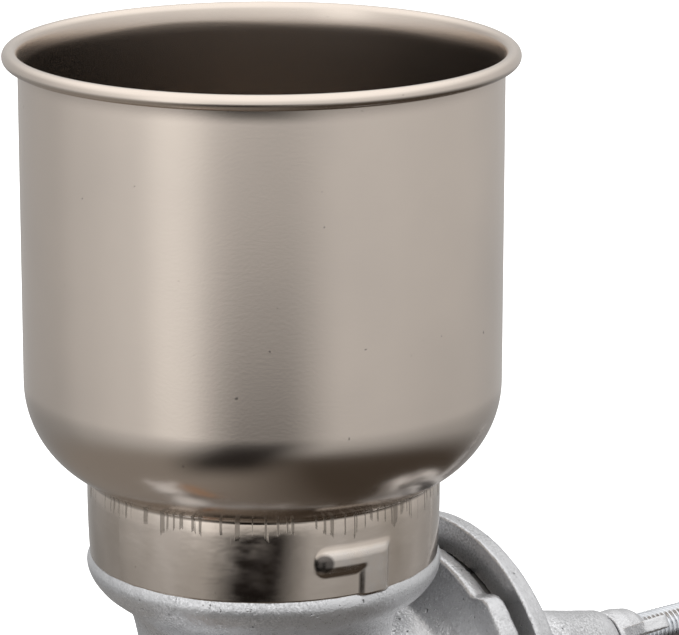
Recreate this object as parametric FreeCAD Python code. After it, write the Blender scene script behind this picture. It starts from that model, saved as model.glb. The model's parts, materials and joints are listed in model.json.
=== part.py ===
"""Table-clamped hand crank coffee grinder: cast iron mill with a drawn steel hopper.

Frame: +Z up, +X along the mill axis towards the grinding plates.  The origin is on the
table face of the upper clamp jaw, straight below the middle of the hopper.
Units are millimetres and degrees.
"""
import FreeCAD, Part
import math
import os

Vector = FreeCAD.Vector
X_AXIS = Vector(1, 0, 0)
Y_AXIS = Vector(0, 1, 0)
Z_AXIS = Vector(0, 0, 1)

# Heights above the table face
AXIS_Z = 105.0
LEDGE_Z = AXIS_Z + 57.2
RIM_Z = LEDGE_Z + 143.8

# Hopper, one drawn sheet
SHEET = 0.6
WALL_R = 67.6
CURL_R = 2.5
SHOULDER_R = 29.7
SHOULDER_Z = RIM_Z - 92.5
NECK_R = 50.0
CREASE_R = NECK_R + 0.6
CREASE_DROP = 1.6
NECK_GAP = 0.1

# Bayonet channel pressed out of the neck, angles about the hopper axis
CHANNEL_DEPTH = 1.8
CHANNEL_LOW = LEDGE_Z + 6.7
CHANNEL_HIGH = LEDGE_Z + 15.2
CHANNEL_START = -111.0
CHANNEL_LEG = -96.3
CHANNEL_END = -82.7
NUB_WIDTH = 7.0
NUB_HEIGHT = 5.5

# Hopper seat on the casting
COLLAR_R = 49.0
COLLAR_WALL = 2.6
COLLAR_HEIGHT = 15.0
LEDGE_R = 50.7

# Barrel and body flange, stations along the mill axis
BORE_R = 26.0
BARREL_R = 32.0
BELLY_R = 34.5
REAR_WALL_X = -42.0
REAR_BOSS_X = -62.0
REAR_BOSS_R = 15.0
FLANGE_X = 53.0
FLANGE_FACE_X = 60.0
FLANGE_R = 48.6
LUG_R = 52.8
LUG_HALF_WIDTH = 13.0
LUG_ANGLE = 49.0
EAR_Y = 75.0
EAR_HALF_HEIGHT = 10.0
EAR_CORNER_R = 8.0

# Auger and its shaft
SHAFT_R = 9.0
SHAFT_CLEARANCE = 0.08
WORM_R = 24.6
WORM_ROOT_R = 10.0
WORM_PITCH = 22.0
WORM_X = (-34.0, 50.0)
SHAFT_FRONT_X = 88.0
CRANK_SEAT_X = -88.0
CRANK_SQUARE_HALF = 6.4
CRANK_SQUARE_GAP = 0.1
CRANK_SCREW_R = 3.9
CRANK_SCREW_DEPTH = 14.0
DRIVE_PIN_R = 2.5

# Grinding plates and the disc that carries the moving one
PLATE_R = 44.0
PLATE_BORE_R = 21.0
FIXED_PLATE_X = (56.0, 62.6)
MOVING_PLATE_X = (63.0, 68.0)
DISC_X = (64.2, 71.2)
DISC_R = (54.8, 53.5)
DISC_HUB_R = 14.0
DISC_HUB_X = 86.0
DRIVE_PIN_X = DISC_HUB_X - 5.0
GROOVES = 18
GROOVE_DEPTH = 1.4
GROOVE_SLANT = 20.0
PLATE_SCREW_OFFSET = 35.0
PLATE_SCREW_R = 2.4
PLATE_SCREW_HEAD_R = 4.5
PLATE_SCREW_HEAD = 3.3
RIVET_OFFSET = 30.0
RIVET_R = 2.0
RIVET_STEP = 120

# Yoke across the front
YOKE_ARM_Y = 58.0
YOKE_THICK = 9.0
YOKE_INNER_X = 98.0
YOKE_OUTER_X = 108.0
YOKE_HALF_HEIGHT = 9.0
YOKE_FOOT = 8.0
BOLT_R = 4.0
WASHER_R = 6.4
WASHER_THICK = 1.4
YOKE_BOSS_R = (15.0, 10.6)
YOKE_BOSS_X = 131.4

# Screws
SCREW_R = 6.0
THREAD_CLEARANCE = 0.06
BALL_R = 4.0
BALL_X = 91.0
SCREW_TIP_X = 95.0
THREAD_END_X = 166.0
SCREW_NECK_R = 3.9
SCREW_END_X = 192.0
ADJUST_PIN_R = 1.5
ADJUST_PIN_X = SCREW_END_X - 6.0
NUT_X = (131.8, 145.0)
NUT_TILT = -30.0

# Crank
CRANK_X = (-86.0, -72.0)
CRANK_REACH = 178.0
GRIP_LENGTH = 96.0
GRIP_GAP = 1.6
GRIP_BORE_R = 4.1
SPINDLE_R = 4.0
CRANK_HUB_R = 16.0
CRANK_EYE_R = 10.5
CRANK_ARM_HALF = (11.0, 7.5)
CRANK_WASHER = 2.0
GRIP_WASHER = 1.2

# Table clamp
JAW_THICK = 9.0
JAW_X = (-18.0, 52.0)
JAW_HALF_WIDTH = 20.0
CLAMP_X = 20.0
GAP_DEPTH = 54.0
ARM_THICK = 20.0
FRAME_HALF_WIDTH = 11.0
WEB_HALF_WIDTH = 7.0
CLAMP_BOSS_R = 14.0
FOOT_R = 15.0
FOOT_TOP_Z = -44.0
FOOT_THICK = 7.0
CLAMP_TIP_R = 4.0
CLAMP_TAIL_R = 5.0
CLAMP_WING_Z = -112.0
CLAMP_PIN_R = 1.75
CLAMP_PIN_Z = CLAMP_WING_Z - 6.0

# Cast thumb heads: hub radius, hub length, wing span, wing rise, wing thickness
BOLT_HEAD = (6.5, 10.0, 15.0, 16.0, 4.0)
ADJUST_HEAD = (9.0, 16.0, 27.0, 24.0, 5.5)
CRANK_HEAD = (7.5, 12.0, 18.0, 17.0, 4.5)
CLAMP_HEAD = (10.5, 17.0, 34.0, 20.0, 6.5)


# ---- general helpers ----------------------------------------------------------------

def rod_x(radius, x0, x1, y=0.0, z=AXIS_Z):
    return Part.makeCylinder(radius, x1 - x0, Vector(x0, y, z), X_AXIS)


def rod_z(radius, z0, z1, x=0.0, y=0.0):
    return Part.makeCylinder(radius, z1 - z0, Vector(x, y, z0), Z_AXIS)


def block(x0, x1, y0, y1, z0, z1):
    return Part.makeBox(x1 - x0, y1 - y0, z1 - z0, Vector(x0, y0, z0))


def square_x(half, x0, x1):
    """Square bar along the mill axis."""
    return block(x0, x1, -half, half, AXIS_Z - half, AXIS_Z + half)


def joined(shapes):
    whole = shapes[0].fuse(list(shapes[1:]))
    return whole.removeSplitter()


def less(shape, cutters):
    return shape.cut(list(cutters))


def turned(points, origin, direction):
    """Solid of revolution: points are (distance along the axis, radius)."""
    wire = Part.makePolygon([Vector(a, r, 0) for a, r in points + points[:1]])
    solid = Part.Face(wire).revolve(Vector(0, 0, 0), X_AXIS, 360)
    return along(solid, origin, direction)


def along(shape, origin, direction):
    """Move a shape built on the +X axis so that it lies on another axis."""
    moved = shape.copy()
    moved.Placement = FreeCAD.Placement(origin, FreeCAD.Rotation(X_AXIS, direction))
    return moved


def on_circle(shape, angle):
    """Copy of a shape turned about the mill axis."""
    turned_copy = shape.copy()
    turned_copy.rotate(Vector(0, 0, AXIS_Z), X_AXIS, angle)
    return turned_copy


def rounded_wire(corners):
    """Closed flat outline in local XY.  Each corner is (x, y, fillet radius)."""
    count = len(corners)
    starts = []
    edges = []
    for i in range(count):
        corner = Vector(corners[i][0], corners[i][1], 0)
        before = (Vector(corners[i - 1][0], corners[i - 1][1], 0) - corner).normalize()
        after_x, after_y = corners[(i + 1) % count][:2]
        after = (Vector(after_x, after_y, 0) - corner).normalize()
        radius = corners[i][2]
        half = before.getAngle(after) / 2
        reach = radius / math.tan(half)
        enter = corner + before * reach
        leave = corner + after * reach
        if radius > 0:
            middle = (before + after).normalize()
            top = corner + middle * (radius / math.sin(half) - radius)
            edges.append(Part.Arc(enter, top, leave).toShape())
        starts.append((enter, leave))
    lines = []
    for i in range(count):
        lines.append(Part.makeLine(starts[i][1], starts[(i + 1) % count][0]))
    return Part.Wire(Part.__sortEdges__(edges + lines))


def slab_y(corners, half_width):
    """Rounded outline in XZ, given thickness along Y about y = 0."""
    face = Part.Face(rounded_wire(corners))
    solid = face.extrude(Vector(0, 0, 2 * half_width))
    solid.rotate(Vector(0, 0, 0), X_AXIS, 90)
    solid.translate(Vector(0, half_width, 0))
    return solid


def slab_z(corners, half_height):
    """Rounded outline in XY, given height along Z about the mill axis."""
    solid = Part.Face(rounded_wire(corners)).extrude(Vector(0, 0, 2 * half_height))
    solid.translate(Vector(0, 0, AXIS_Z - half_height))
    return solid


def slab_x(corners, x0, x1):
    """Rounded outline in YZ (z measured from the mill axis), thickness along X."""
    solid = Part.Face(rounded_wire(corners)).extrude(Vector(0, 0, x1 - x0))
    turn = FreeCAD.Rotation(Vector(0, 1, 0), Vector(0, 0, 1), Vector(1, 0, 0), "ZXY")
    solid.Placement = FreeCAD.Placement(Vector(x0, 0, AXIS_Z), turn)
    return solid


def mirrored_y(corners):
    return [(x, -y, r) for x, y, r in reversed(corners)]


def sector(r0, r1, start, end, z0, z1):
    """Part of a vertical ring between two angles."""
    ring = Part.makeCylinder(r1, z1 - z0, Vector(0, 0, z0), Z_AXIS, end - start)
    ring = ring.cut(rod_z(r0, z0 - 1, z1 + 1))
    ring.rotate(Vector(0, 0, 0), Z_AXIS, start)
    return ring


def wings(hub_r, span, rise, thickness):
    """Pair of thumb wings on the +X axis, spread along Y, leaning forwards."""
    tip = rise * 0.14
    outline = [
        (0.0, 0.0, 0.0),
        (hub_r * 0.9, 0.0, 0.0),
        (hub_r * 0.95, hub_r * 0.8, 1.0),
        (rise, span * 0.74, tip),
        (rise * 0.88, span, tip),
        (rise * 0.36, span * 0.86, tip),
        (0.0, hub_r * 0.9, 1.0),
    ]
    wing = Part.Face(rounded_wire(outline)).extrude(Vector(0, 0, thickness))
    wing.translate(Vector(0, 0, -thickness / 2))
    other = wing.mirror(Vector(0, 0, 0), Y_AXIS)
    return joined([wing, other])


def thumb_head(hub_r, hub_length, span, rise, thickness):
    """Cast thumb head: tapered hub with two wings, its seat at x = 0."""
    hub = turned([(0, 0), (0, hub_r), (hub_length * 0.7, hub_r * 0.92), (hub_length, hub_r * 0.6),
                  (hub_length, 0)], Vector(0, 0, 0), X_AXIS)
    return joined([hub, wings(hub_r, span, rise, thickness)])


# ---- hopper -------------------------------------------------------------------------

def hopper_contour(inset):
    """Wall, shoulder and neck as edges in XZ, moved inwards by the inset."""
    centre_r = WALL_R - SHOULDER_R
    radius = SHOULDER_R - inset
    crease_r = CREASE_R - inset
    end = math.acos((crease_r - centre_r) / radius)

    def on_shoulder(angle):
        x = centre_r + radius * math.cos(angle)
        return Vector(x, 0, SHOULDER_Z - radius * math.sin(angle))

    top = Vector(WALL_R - inset, 0, RIM_Z)
    crease = on_shoulder(end)
    neck_top = Vector(NECK_R - inset, 0, crease.z - CREASE_DROP)
    neck_foot = Vector(NECK_R - inset, 0, LEDGE_Z + NECK_GAP)
    edges = [
        Part.makeLine(top, on_shoulder(0)),
        Part.Arc(on_shoulder(0), on_shoulder(end / 2), crease).toShape(),
        Part.makeLine(crease, neck_top),
        Part.makeLine(neck_top, neck_foot),
    ]
    return edges, top, neck_foot


def hopper_curl():
    """Rim rolled outwards, open on its under side next to the wall."""
    centre_r = WALL_R - SHEET + CURL_R

    def point(radius, angle):
        turn = math.radians(angle)
        return Vector(centre_r + radius * math.cos(turn), 0, RIM_Z + radius * math.sin(turn))

    inner = CURL_R - SHEET
    edges = [
        Part.Arc(point(CURL_R, 180), point(CURL_R, 25), point(CURL_R, -125)).toShape(),
        Part.makeLine(point(CURL_R, -125), point(inner, -125)),
        Part.Arc(point(inner, -125), point(inner, 25), point(inner, 180)).toShape(),
        Part.makeLine(point(inner, 180), point(CURL_R, 180)),
    ]
    return Part.Face(Part.Wire(edges)).revolve(Vector(0, 0, 0), Z_AXIS, 360)


def channel_block(r0, r1, inset, foot):
    """L-shaped block of the bayonet channel: a level run and a leg open downwards."""
    side = math.degrees(inset / NECK_R)
    level = sector(r0, r1, CHANNEL_START + side, CHANNEL_END - side,
                   CHANNEL_LOW + inset, CHANNEL_HIGH - inset)
    leg = sector(r0, r1, CHANNEL_LEG + side, CHANNEL_END - side, foot, CHANNEL_HIGH - inset)
    return joined([level, leg])


def hopper():
    """Open sheet bowl with a rolled rim, a straight neck and one bayonet channel."""
    outer, outer_top, outer_foot = hopper_contour(0.0)
    inner, inner_top, inner_foot = hopper_contour(SHEET)
    rim = Part.makeLine(outer_top, inner_top)
    foot = Part.makeLine(outer_foot, inner_foot)
    wire = Part.Wire(Part.__sortEdges__(outer + inner + [rim, foot]))
    shell = Part.Face(wire).revolve(Vector(0, 0, 0), Z_AXIS, 360)
    neck_foot = LEDGE_Z + NECK_GAP
    pressed = channel_block(NECK_R - SHEET / 2, NECK_R + CHANNEL_DEPTH, 0.0, neck_foot)
    hollow = channel_block(COLLAR_R - 2, NECK_R - SHEET + CHANNEL_DEPTH, SHEET, neck_foot - 1)
    return less(joined([shell, hopper_curl(), pressed]), [hollow])


# ---- body casting -------------------------------------------------------------------

def throat_outside():
    """Ledge ring and concave funnel down to the round belly of the barrel."""
    funnel = turned([
        (AXIS_Z, 0), (AXIS_Z, BELLY_R), (LEDGE_Z - 26, 36.2), (LEDGE_Z - 19, 37.6),
        (LEDGE_Z - 15.7, 38.9), (LEDGE_Z - 14, 40.4), (LEDGE_Z - 12, 43.4), (LEDGE_Z - 9.5, 46.6),
        (LEDGE_Z - 7, 48.8), (LEDGE_Z - 4.5, 50.2), (LEDGE_Z - 2.5, LEDGE_R),
        (LEDGE_Z - 1.0, LEDGE_R), (LEDGE_Z, LEDGE_R - 0.6), (LEDGE_Z, 0),
    ], Vector(0, 0, 0), Z_AXIS)
    belly = Part.makeSphere(BELLY_R, Vector(0, 0, AXIS_Z))
    collar = rod_z(COLLAR_R, LEDGE_Z - 1, LEDGE_Z + COLLAR_HEIGHT)
    return joined([funnel, belly, collar])


def throat_inside():
    """Bean passage: straight through the collar, then narrowing into the bore."""
    mouth = COLLAR_R - COLLAR_WALL
    return turned([
        (AXIS_Z, 0), (AXIS_Z, 24.0), (AXIS_Z + 22, 25.0), (LEDGE_Z - 19, 33.5),
        (LEDGE_Z - 8, 39.5), (LEDGE_Z, mouth), (LEDGE_Z + COLLAR_HEIGHT + 1, mouth),
        (LEDGE_Z + COLLAR_HEIGHT + 1, 0),
    ], Vector(0, 0, 0), Z_AXIS)


def bayonet_nub():
    """Cast nub on the collar that the hopper channel hooks over."""
    width = math.degrees(NUB_WIDTH / NECK_R)
    start = CHANNEL_START + math.degrees((SHEET + 0.5) / NECK_R)
    middle = (CHANNEL_LOW + CHANNEL_HIGH) / 2
    return sector(COLLAR_R - 1, NECK_R + 0.8, start, start + width,
                  middle - NUB_HEIGHT / 2, middle + NUB_HEIGHT / 2)


def barrel_outside():
    """Rear boss, closed rear wall, round barrel and drafted flange."""
    return turned([
        (REAR_BOSS_X, 0), (REAR_BOSS_X, REAR_BOSS_R - 1.5), (REAR_BOSS_X + 1.5, REAR_BOSS_R),
        (REAR_WALL_X - 5, REAR_BOSS_R + 1), (REAR_WALL_X, 26.0), (REAR_WALL_X + 6, BARREL_R),
        (30.0, BARREL_R), (FLANGE_X - 8, 35.0), (FLANGE_X - 3, 39.0), (FLANGE_X, 46.0),
        (FLANGE_X, FLANGE_R - 0.4), (FLANGE_X + 1.0, FLANGE_R + 0.4),
        (FLANGE_FACE_X, FLANGE_R - 0.6), (FLANGE_FACE_X, 0),
    ], Vector(0, 0, AXIS_Z), X_AXIS)


def flange_lug(angle):
    """Rounded swelling on the flange edge; the angle is measured from straight up."""
    w = LUG_HALF_WIDTH
    outline = [(-w, 30.0, 0), (w, 30.0, 0), (w * 0.7, LUG_R, 6.0), (-w * 0.7, LUG_R, 6.0)]
    lug = slab_x(outline, FLANGE_X, FLANGE_FACE_X)
    lug.rotate(Vector(0, 0, AXIS_Z), X_AXIS, angle)
    return lug


def flange_ears():
    """Flat ears left and right that the yoke is bolted to."""
    end = EAR_Y + 10.0
    h = EAR_HALF_HEIGHT
    r = EAR_CORNER_R
    outline = [(-end, -h, r), (end, -h, r), (end, h, r), (-end, h, r)]
    return slab_x(outline, FLANGE_X, FLANGE_FACE_X)


def clamp_frame_outline():
    """Leg, spine and lower arm of the clamp: a C that is open towards +X."""
    gap_z = -GAP_DEPTH
    low = gap_z - ARM_THICK
    return [
        (-30.0, 86.0, 0.0), (22.0, 86.0, 0.0), (15.0, 40.0, 20.0), (26.0, JAW_THICK - 2, 14.0),
        (40.0, JAW_THICK - 2, 2.0), (40.0, 0.0, 0.0), (-18.0, 0.0, 7.0), (-20.0, gap_z, 9.0),
        (CLAMP_X + 10, gap_z - 2, 5.0), (CLAMP_X + 10, low + 5, 5.0), (0.0, low, 10.0),
        (-34.0, low, 20.0), (-42.0, gap_z / 2, 30.0), (-30.0, 40.0, 30.0),
    ]


def lightening_pockets():
    """Shallow panels on both faces that leave a thinner web inside a raised border."""
    depth = 5.0
    upper = [(-20.0, 74.0, 4.0), (12.0, 74.0, 4.0), (6.0, 40.0, 16.0), (12.0, 17.0, 4.0),
             (-24.0, 17.0, 4.0), (-22.0, 44.0, 16.0)]
    lower = [(-26.0, 2.0, 2.5), (-27.0, -GAP_DEPTH, 6.0), (0.0, -GAP_DEPTH - 6, 4.0),
             (-2.0, -GAP_DEPTH - 14, 4.0), (-30.0, -GAP_DEPTH - 14, 8.0), (-36.0, -27.0, 10.0),
             (-33.0, 2.0, 2.5)]
    pockets = []
    for outline in (upper, lower):
        panel = slab_y(outline, depth)
        for side in (-1, 1):
            copy = panel.copy()
            copy.translate(Vector(0, side * (WEB_HALF_WIDTH + depth), 0))
            pockets.append(copy)
    return pockets


def clamp_frame():
    """C-shaped frame with its jaw plate on top and the screw boss below."""
    frame = less(slab_y(clamp_frame_outline(), FRAME_HALF_WIDTH), lightening_pockets())
    x0, x1 = JAW_X
    w = JAW_HALF_WIDTH
    outline = [(x0, -w, 8.0), (x1, -w, 12.0), (x1, w, 12.0), (x0, w, 8.0)]
    jaw = Part.Face(rounded_wire(outline)).extrude(Vector(0, 0, JAW_THICK))
    boss = rod_z(CLAMP_BOSS_R, -GAP_DEPTH - ARM_THICK, -GAP_DEPTH + 1, CLAMP_X)
    return joined([frame, jaw, boss])


def body_casting():
    """Main casting: hopper seat, barrel, flange with ears and lugs, and table clamp."""
    solid = joined([
        throat_outside(), barrel_outside(), clamp_frame(), flange_ears(), bayonet_nub(),
        flange_lug(LUG_ANGLE), flange_lug(LUG_ANGLE + 180),
    ])
    journal = SHAFT_R + SHAFT_CLEARANCE
    cutters = [
        throat_inside(),
        rod_x(BORE_R, REAR_WALL_X + 6, FLANGE_FACE_X + 1),
        rod_x(journal, REAR_BOSS_X - 1, REAR_WALL_X + 7),
        rod_x(PLATE_R + 0.5, FIXED_PLATE_X[0], FLANGE_FACE_X + 1),
        rod_z(SCREW_R + THREAD_CLEARANCE, -GAP_DEPTH - ARM_THICK - 1, -GAP_DEPTH + 2, CLAMP_X),
    ]
    for side in (-1, 1):
        cutters.append(rod_x(BOLT_R, FLANGE_X - 1, FLANGE_FACE_X + 1, side * EAR_Y))
        cutters.append(plate_screw_rod(PLATE_SCREW_R + 0.1, FLANGE_X - 1, FLANGE_FACE_X, side))
    return less(solid, cutters)


# ---- grinding plates ----------------------------------------------------------------

def plate_screw_rod(radius, x0, x1, side):
    """Rod on the line of the upper (+1) or lower (-1) plate screw."""
    return rod_x(radius, x0, x1, 0, AXIS_Z + side * PLATE_SCREW_OFFSET)


def rivet_rods(radius, x0, x1):
    """Rods on the lines of the plate rivets, evenly spaced round the disc."""
    rod = rod_x(radius, x0, x1, 0, AXIS_Z + RIVET_OFFSET)
    return [on_circle(rod, angle) for angle in range(0, 360, RIVET_STEP)]


def plate_grooves(face_x):
    """Slanted cutting grooves, evenly spaced round the plate."""
    grooves = []
    for i in range(GROOVES):
        groove = block(face_x - GROOVE_DEPTH, face_x + GROOVE_DEPTH, -1.2, 1.2,
                       AXIS_Z + PLATE_BORE_R + 2, AXIS_Z + PLATE_R + 2)
        groove.rotate(Vector(0, 0, AXIS_Z + PLATE_BORE_R), X_AXIS, GROOVE_SLANT)
        groove.rotate(Vector(0, 0, AXIS_Z), X_AXIS, 360 / GROOVES * (i + 0.5))
        grooves.append(groove)
    return grooves


def fixed_grinding_plate():
    """Ring plate in the flange recess, with a counterbored hole for each screw."""
    x0, x1 = FIXED_PLATE_X
    seat_x = x1 - PLATE_SCREW_HEAD - 0.1
    ring = less(rod_x(PLATE_R, x0, x1), [rod_x(PLATE_BORE_R, x0 - 1, x1 + 1)])
    holes = []
    for side in (-1, 1):
        holes.append(plate_screw_rod(PLATE_SCREW_R + 0.2, x0 - 1, x1 + 1, side))
        holes.append(plate_screw_rod(PLATE_SCREW_HEAD_R + 0.2, seat_x, x1 + 1, side))
    return less(ring, plate_grooves(x1) + holes)


def fixed_plate_screws():
    """Two slotted cheese-head screws that hold the fixed plate in its recess."""
    x1 = FIXED_PLATE_X[1]
    screws = []
    for side in (-1, 1):
        z = AXIS_Z + side * PLATE_SCREW_OFFSET
        slot = block(x1 - 1.6, x1, -PLATE_SCREW_HEAD_R - 0.5, PLATE_SCREW_HEAD_R + 0.5,
                     z - 0.6, z + 0.6)
        shank = plate_screw_rod(PLATE_SCREW_R, FLANGE_X + 0.4, x1 - 3, side)
        head = plate_screw_rod(PLATE_SCREW_HEAD_R, x1 - PLATE_SCREW_HEAD, x1 - 0.6, side)
        screws.append(less(joined([shank, head]), [slot]))
    return Part.makeCompound(screws)


def moving_grinding_plate():
    """Ring plate that turns with the disc, its grooves facing the fixed plate."""
    x0, x1 = MOVING_PLATE_X
    ring = less(rod_x(PLATE_R, x0, x1), [rod_x(SHAFT_R + 2.2, x0 - 1, x1 + 1)])
    return less(ring, plate_grooves(x0) + rivet_rods(RIVET_R + 0.1, x0 - 1, x1 + 1))


def moving_plate_rivets():
    """Three rivets through the moving plate and its disc."""
    x1 = DISC_X[1]
    head = turned([(0, 0), (0, 4.2), (2.0, 2.6), (2.0, 0)],
                  Vector(x1, 0, AXIS_Z + RIVET_OFFSET), X_AXIS)
    shank = rod_x(RIVET_R, MOVING_PLATE_X[0] + 1.5, x1, 0, AXIS_Z + RIVET_OFFSET)
    rivet = joined([shank, head])
    return Part.makeCompound([on_circle(rivet, angle) for angle in range(0, 360, RIVET_STEP)])


def rotating_disc():
    """Drafted carrier disc with a hub, recessed for the moving plate."""
    x0, x1 = DISC_X
    r0, r1 = DISC_R
    disc = turned([
        (x0, 0), (x0, r0 - 0.3), (x0 + 0.3, r0), (x1 - 0.5, r1), (x1, r1 - 0.5),
        (x1, DISC_HUB_R + 3), (x1 + 3, DISC_HUB_R), (DISC_HUB_X, DISC_HUB_R - 1), (DISC_HUB_X, 0),
    ], Vector(0, 0, AXIS_Z), X_AXIS)
    cutters = [
        rod_x(PLATE_R + 0.4, x0 - 1, MOVING_PLATE_X[1]),
        rod_x(SHAFT_R, x0 - 1, DISC_HUB_X + 1),
        drive_pin_rod(DISC_HUB_R + 1),
    ]
    return less(disc, cutters + rivet_rods(RIVET_R, x0 - 1, x1 + 1))


# ---- auger --------------------------------------------------------------------------

def drive_pin_rod(half_length):
    """Cross pin through the disc hub and the shaft, upright at rest."""
    return rod_z(DRIVE_PIN_R, AXIS_Z - half_length, AXIS_Z + half_length, DRIVE_PIN_X)


def worm_flight():
    """Helical flight of the feed screw, a rectangle swept round a helix."""
    x0, x1 = WORM_X
    inner = WORM_ROOT_R - 1.5
    half = 2.2
    length = x1 - x0 - 2 * half
    helix = Part.makeHelix(WORM_PITCH, length, inner)
    profile = Part.makePolygon([
        Vector(inner, 0, -half), Vector(WORM_R, 0, -half * 0.6), Vector(WORM_R, 0, half * 0.6),
        Vector(inner, 0, half), Vector(inner, 0, -half),
    ])
    flight = Part.Wire(helix).makePipeShell([profile], True, True)
    flight.rotate(Vector(0, 0, 0), Y_AXIS, 90)
    flight.translate(Vector(x0 + half, 0, AXIS_Z))
    return flight


def auger():
    """Feed worm on its shaft: rear journal, square crank seat, front plate seat."""
    x0, x1 = WORM_X
    core = joined([
        rod_x(WORM_ROOT_R, x0, x1),
        rod_x(SHAFT_R, -70.0, SHAFT_FRONT_X),
        worm_flight(),
    ])
    cutters = [
        Part.makeSphere(BALL_R + 0.03, Vector(BALL_X, 0, AXIS_Z)),
        rod_x(CRANK_SCREW_R, CRANK_SEAT_X - 1, CRANK_SEAT_X + CRANK_SCREW_DEPTH + 2),
        drive_pin_rod(DISC_HUB_R),
    ]
    square = square_x(CRANK_SQUARE_HALF, CRANK_SEAT_X, -69.0)
    return less(joined([core, square]), cutters)


def disc_drive_pin():
    """Pin that makes the disc turn with the shaft."""
    return drive_pin_rod(DISC_HUB_R - 0.4)


def thrust_ball():
    """Bearing ball between the shaft's end and the adjusting screw's cup."""
    return Part.makeSphere(BALL_R, Vector(BALL_X, 0, AXIS_Z))


# ---- yoke and adjustment ------------------------------------------------------------

def yoke_frame():
    """Cast bridge: two feet on the ears, arms past the disc, tapered boss in front."""
    arm = YOKE_ARM_Y
    out = arm + YOKE_THICK
    foot_x = FLANGE_FACE_X + YOKE_FOOT
    end = EAR_Y + 9.0
    half = [
        (FLANGE_FACE_X, arm, 0.0), (FLANGE_FACE_X, end, 2.0), (foot_x, end, 2.0),
        (foot_x, out, 1.5), (YOKE_OUTER_X - 12, out, 10.0), (YOKE_OUTER_X, 38.0, 12.0),
    ]
    inner = [(YOKE_INNER_X, 30.0, 8.0), (YOKE_INNER_X - 14, arm, 8.0)]
    outline = half + mirrored_y(half) + mirrored_y(inner) + inner
    bridge = slab_z(outline, YOKE_HALF_HEIGHT)
    boss = turned([
        (YOKE_INNER_X, 0), (YOKE_INNER_X, 15.0), (YOKE_OUTER_X, YOKE_BOSS_R[0]),
        (YOKE_BOSS_X - 1.5, YOKE_BOSS_R[1]), (YOKE_BOSS_X, YOKE_BOSS_R[1] - 1.5), (YOKE_BOSS_X, 0),
    ], Vector(0, 0, AXIS_Z), X_AXIS)
    cutters = [rod_x(SCREW_R + THREAD_CLEARANCE, YOKE_INNER_X - 1, YOKE_BOSS_X + 1)]
    for side in (-1, 1):
        cutters.append(rod_x(BOLT_R + 0.4, FLANGE_FACE_X - 1, foot_x + 1, side * EAR_Y))
    return less(joined([bridge, boss]), cutters)


def yoke_bolt_washers():
    """One plain washer under each thumb bolt."""
    washers = []
    x0 = FLANGE_FACE_X + YOKE_FOOT
    for side in (-1, 1):
        ring = rod_x(WASHER_R, x0, x0 + WASHER_THICK, side * EAR_Y)
        washers.append(less(ring, [rod_x(BOLT_R + 0.2, x0 - 1, x0 + 3, side * EAR_Y)]))
    return Part.makeCompound(washers)


def yoke_wing_bolts():
    """Two thumb bolts through the yoke feet into the ears, wings upright."""
    seat = FLANGE_FACE_X + YOKE_FOOT + WASHER_THICK
    bolts = []
    for side in (-1, 1):
        head = thumb_head(*BOLT_HEAD)
        head.rotate(Vector(0, 0, 0), X_AXIS, 90)
        head.translate(Vector(seat, side * EAR_Y, AXIS_Z))
        shank = rod_x(BOLT_R, FLANGE_X - 4, seat + 1, side * EAR_Y)
        bolts.append(joined([head, shank]))
    return Part.makeCompound(bolts)


def adjusting_pin_rod(half_length):
    """Cross pin of the adjusting screw, lying along Y near the screw's end."""
    start = Vector(ADJUST_PIN_X, -half_length, AXIS_Z)
    return Part.makeCylinder(ADJUST_PIN_R, 2 * half_length, start, Y_AXIS)


def adjusting_screw():
    """Plate adjusting screw: cupped tip, thread, slimmer neck and a plain end."""
    x = THREAD_END_X
    body = turned([
        (SCREW_TIP_X, 0), (SCREW_TIP_X, 4.6), (SCREW_TIP_X + 1.4, SCREW_R), (x, SCREW_R),
        (x + 8, SCREW_NECK_R), (SCREW_END_X, SCREW_NECK_R), (SCREW_END_X, 0),
    ], Vector(0, 0, AXIS_Z), X_AXIS)
    return less(body, [adjusting_pin_rod(5.0)])


def adjusting_screw_wings():
    """Cast thumb head pressed on the end of the adjusting screw."""
    x0 = SCREW_END_X - 15
    head = thumb_head(*ADJUST_HEAD)
    head.rotate(Vector(0, 0, 0), X_AXIS, 90)
    head.translate(Vector(x0, 0, AXIS_Z))
    return less(head, [rod_x(SCREW_NECK_R, x0 - 1, SCREW_END_X), adjusting_pin_rod(12.0)])


def adjusting_wing_pin():
    """Pin that keeps the thumb head on the adjusting screw."""
    return adjusting_pin_rod(8.0)


def lock_wing_nut():
    """Wing nut that locks the adjusting screw against the yoke boss."""
    x0, x1 = NUT_X
    nut = joined([
        turned([(0, 0), (0, 9.4), (5, 9.6), (10, 8.8), (x1 - x0 - 1, 7.6), (x1 - x0, 6.8),
                (x1 - x0, 0)], Vector(0, 0, 0), X_AXIS),
        wings(8.6, 18.0, 15.0, 4.0),
    ])
    nut.rotate(Vector(0, 0, 0), X_AXIS, NUT_TILT)
    nut.translate(Vector(x0, 0, AXIS_Z))
    return less(nut, [rod_x(SCREW_R + THREAD_CLEARANCE, x0 - 1, x1 + 8)])


# ---- crank --------------------------------------------------------------------------

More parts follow.
